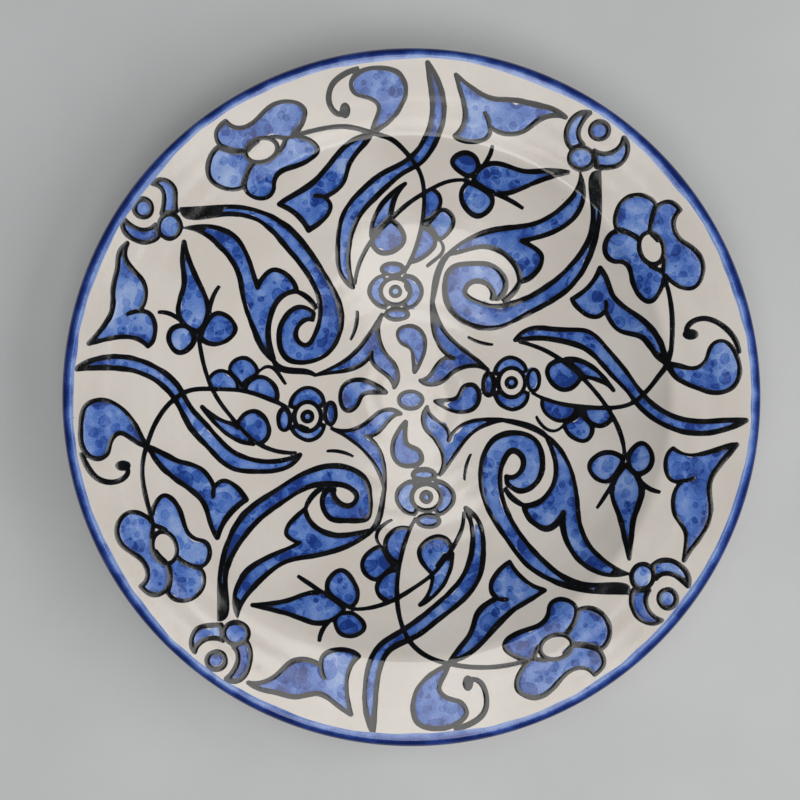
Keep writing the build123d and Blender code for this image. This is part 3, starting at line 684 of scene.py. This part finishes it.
def glaze_skin(look):
    """Bump pattern shared by everything under the gloss: soft waves and a fine orange peel."""
    peel = look.calc("MULTIPLY", look.noise(0.8, detail=3.0), 0.35)
    return look.calc("ADD", look.noise(7.0), peel)


def white_glaze():
    look = Look("white glaze")
    cloud = look.fit(look.noise(38.0), 0.35, 0.65)
    warm = look.mix(cloud, (0.650, 0.603, 0.548), (0.710, 0.667, 0.616))
    mottle = look.fit(look.noise(2.2, detail=4.0), 0.3, 0.7)
    base = look.mix(look.calc("MULTIPLY", mottle, 0.12), warm, (0.560, 0.530, 0.500))
    pit_gap = look.cells(9.0)
    pit_here = look.calc("LESS_THAN", look.noise(31.0), 0.46)
    pit = look.calc("MULTIPLY", look.fit(pit_gap, 0.016, 0.032, 1.0, 0.0), pit_here)
    colour = look.mix(pit, base, (0.120, 0.085, 0.065))
    height = look.calc("SUBTRACT", glaze_skin(look), look.calc("MULTIPLY", pit, 0.8))
    roughness = look.fit(look.noise(14.0), 0.3, 0.7, 0.06, 0.11)
    return look.finish(colour, roughness, height, depth=0.03)


def cobalt_wash():
    """Thin watery blue: pale where little colour was left, deep where round dabs overlap, with a
    darker rim to each dab and a fine grain."""
    look = Look("cobalt wash")
    load = look.stored("load")
    for size in (8.0, 5.2, 3.4):
        load = look.calc("ADD", load, look.dabs(size))
    pooled = look.fit(look.stored("inward"), 0.0, 1.1, 0.12, 0.0)
    load = look.calc("ADD", load, pooled)
    grain = look.fit(look.noise(0.55, detail=3.0), 0.3, 0.7, -0.09, 0.09)
    load = look.calc("ADD", load, grain)
    colour = look.ramp(load, [(0.0, (0.290, 0.400, 0.680)), (0.3, (0.150, 0.260, 0.600)),
                              (0.6, (0.065, 0.155, 0.490)), (0.85, (0.025, 0.078, 0.340)),
                              (1.0, (0.012, 0.040, 0.220))])
    return look.finish(colour, look.fit(load, 0.0, 1.0, 0.07, 0.12), glaze_skin(look), 0.03)


def dark_line():
    """Thick black-brown line colour: dense, slightly thin at its edges, with pinholes."""
    look = Look("dark line")
    thin = look.fit(look.stored("inward"), 0.0, 0.28, 1.0, 0.0)
    streak = look.fit(look.noise(6.0, detail=3.0), 0.42, 0.72)
    grain = look.fit(look.noise(0.5, detail=3.0), 0.45, 0.75)
    body = look.mix(look.calc("MULTIPLY", grain, 0.7), (0.0022, 0.0024, 0.0030),
                    (0.0080, 0.0088, 0.0110))
    worn = look.mix(look.calc("MULTIPLY", streak, 0.5), body, (0.0130, 0.0145, 0.0190))
    colour = look.mix(look.calc("MULTIPLY", thin, 0.75), worn, (0.0500, 0.0560, 0.0800))
    pin = look.fit(look.cells(1.7), 0.07, 0.12, 1.0, 0.0)
    pin = look.calc("MULTIPLY", pin, look.calc("GREATER_THAN", look.noise(9.0), 0.56))
    colour = look.mix(look.calc("MULTIPLY", pin, 0.5), colour, (0.3000, 0.3000, 0.3100))
    height = look.calc("SUBTRACT", glaze_skin(look), look.calc("MULTIPLY", pin, 1.2))
    return look.finish(colour, look.fit(grain, 0.0, 1.0, 0.07, 0.14), height, depth=0.03)


def cobalt_band():
    """The rim: deep blue outside, thinning to a watery edge inside, streaked along the rim."""
    look = Look("cobalt band")
    depth = look.fit(look.stored("inward"), 0.0, 3.6)
    streaks = look.fit(look.noise(9.0, detail=4.0), 0.3, 0.7, -0.22, 0.22)
    grain = look.fit(look.noise(0.7, detail=3.0), 0.3, 0.7, -0.07, 0.07)
    load = look.calc("ADD", look.calc("ADD", depth, streaks), grain)
    colour = look.ramp(load, [(0.0, (0.230, 0.340, 0.660)), (0.35, (0.075, 0.150, 0.460)),
                              (0.7, (0.020, 0.050, 0.250)), (1.0, (0.006, 0.018, 0.120))])
    return look.finish(colour, 0.08, glaze_skin(look), depth=0.03)


def fired_clay():
    """Pale buff biscuit: matt, gritty, with turning lines."""
    look = Look("fired clay")
    grit = look.noise(0.9, detail=4.0)
    cloud = look.fit(look.noise(16.0, detail=3.0), 0.3, 0.7)
    base = look.mix(cloud, (0.500, 0.290, 0.170), (0.600, 0.390, 0.250))
    speck = look.fit(look.cells(2.4), 0.08, 0.13, 1.0, 0.0)
    colour = look.mix(look.calc("MULTIPLY", speck, 0.6), base, (0.210, 0.110, 0.065))
    colour = look.mix(look.fit(grit, 0.35, 0.7, 0.0, 0.35), colour, (0.690, 0.520, 0.380))
    spread = look.add("ShaderNodeSeparateXYZ", {"Vector": look.place})
    radius = look.calc("SQRT", look.calc("ADD", look.calc("POWER", spread.outputs[0], 2.0),
                                         look.calc("POWER", spread.outputs[1], 2.0)))
    turning = look.calc("SINE", look.calc("MULTIPLY", radius, 2 * math.pi / (0.7 * MM)))
    height = look.calc("ADD", look.calc("MULTIPLY", turning, 0.35), grit)
    return look.finish(colour, 0.85, height, depth=0.06)


# ---- stage -------------------------------------------------------------------------------------
def stage_floor():
    look = Look("pale floor")
    shade = look.fit(look.noise(90.0, detail=4.0), 0.3, 0.7)
    colour = look.mix(shade, (0.560, 0.570, 0.580), (0.600, 0.610, 0.620))
    material = look.finish(colour, 0.7, look.noise(1.2, detail=2.0), depth=0.05)
    half = 3.0
    mesh = bpy.data.meshes.new("floor")
    mesh.from_pydata([(-half, -half, 0), (half, -half, 0), (half, half, 0), (-half, half, 0)],
                     [], [(0, 1, 2, 3)])
    mesh.materials.append(material)
    floor = bpy.data.objects.new("floor", mesh)
    bpy.context.scene.collection.objects.link(floor)


def soft_light(name, place, aim, width, height, brightness, mirrored=True):
    """A soft rectangular lamp.  brightness is what a camera would see looking into it; a lamp
    that is not mirrored lights the gloss but makes no highlight in it."""
    lamp = bpy.data.lights.new(name, "AREA")
    lamp.shape = "RECTANGLE"
    lamp.size, lamp.size_y = width, height
    lamp.energy = brightness * math.pi * width * height
    lamp.color = (1.0, 0.985, 0.965)
    thing = bpy.data.objects.new(name, lamp)
    thing.location = place
    direction = Vector(aim) - Vector(place)
    thing.visible_glossy = mirrored
    thing.rotation_mode = "QUATERNION"
    thing.rotation_quaternion = direction.to_track_quat("-Z", "Y")
    bpy.context.scene.collection.objects.link(thing)


# Metres here.  Ceiling panels: left, right, near and far edge, and brightness.
PANELS = [(-0.25, 0.19, -0.60, -0.20, 3.9), (-0.075, 0.11, -0.20, -0.05, 2.1),
          (-0.07, 0.10, -0.05, 0.21, 3.6), (-0.155, 0.093, 0.21, 0.33, 3.4)]
PANEL_HEIGHT = 1.15
ROOM_GLOW = 0.24          # brightness of the room, as it lights things
ROOM_IN_GLOSS = 0.04      # and as it shows in the gloss
CAMERA_SIDE, CAMERA_UP = -0.0044, -0.0011
CAMERA_ABOVE_RIM = 0.65


def stage_light():
    """Soft daylight: a dim room, pale panels overhead that show in the gloss, and a wide window
    to the right."""
    world = bpy.data.worlds.new("room")
    world.use_nodes = True
    background = world.node_tree.nodes["Background"]
    background.inputs["Color"].default_value = (0.96, 0.98, 1.0, 1.0)
    rays = world.node_tree.nodes.new("ShaderNodeLightPath")
    strength = world.node_tree.nodes.new("ShaderNodeMapRange")
    strength.inputs["To Min"].default_value = ROOM_GLOW
    strength.inputs["To Max"].default_value = ROOM_IN_GLOSS
    world.node_tree.links.new(rays.outputs["Is Glossy Ray"], strength.inputs["Value"])
    world.node_tree.links.new(strength.outputs["Result"], background.inputs["Strength"])
    bpy.context.scene.world = world
    for number, (left, right, near, far, brightness) in enumerate(PANELS):
        middle = ((left + right) / 2, (near + far) / 2)
        soft_light(f"ceiling panel {number}", (*middle, PANEL_HEIGHT), (*middle, 0),
                   right - left, far - near, brightness)
    soft_light("skylight", (-0.1, -0.2, 1.3), (0, 0, 0), 0.9, 0.9, 1.0, mirrored=False)
    soft_light("side window", (1.1, -0.3, 1.1), (0, 0, 0.03), 1.6, 1.0, 2.4, mirrored=False)


def stage_camera():
    """Looks straight down on the plate, with +Y up in the picture."""
    lens = bpy.data.cameras.new("camera")
    lens.sensor_width = 36.0
    lens.lens = 76.0
    lens.clip_start = 0.01
    camera = bpy.data.objects.new("camera", lens)
    camera.location = (CAMERA_SIDE, CAMERA_UP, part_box("rim_band")[1].z + CAMERA_ABOVE_RIM)
    bpy.context.scene.collection.objects.link(camera)
    bpy.context.scene.camera = camera


bpy.context.scene.view_settings.view_transform = "Standard"
thrown_clay(fired_clay())
glaze_coats(white_glaze())
painted_rim(cobalt_band())
brush_ornament(cobalt_wash(), dark_line())
stage_floor()
stage_light()
stage_camera()
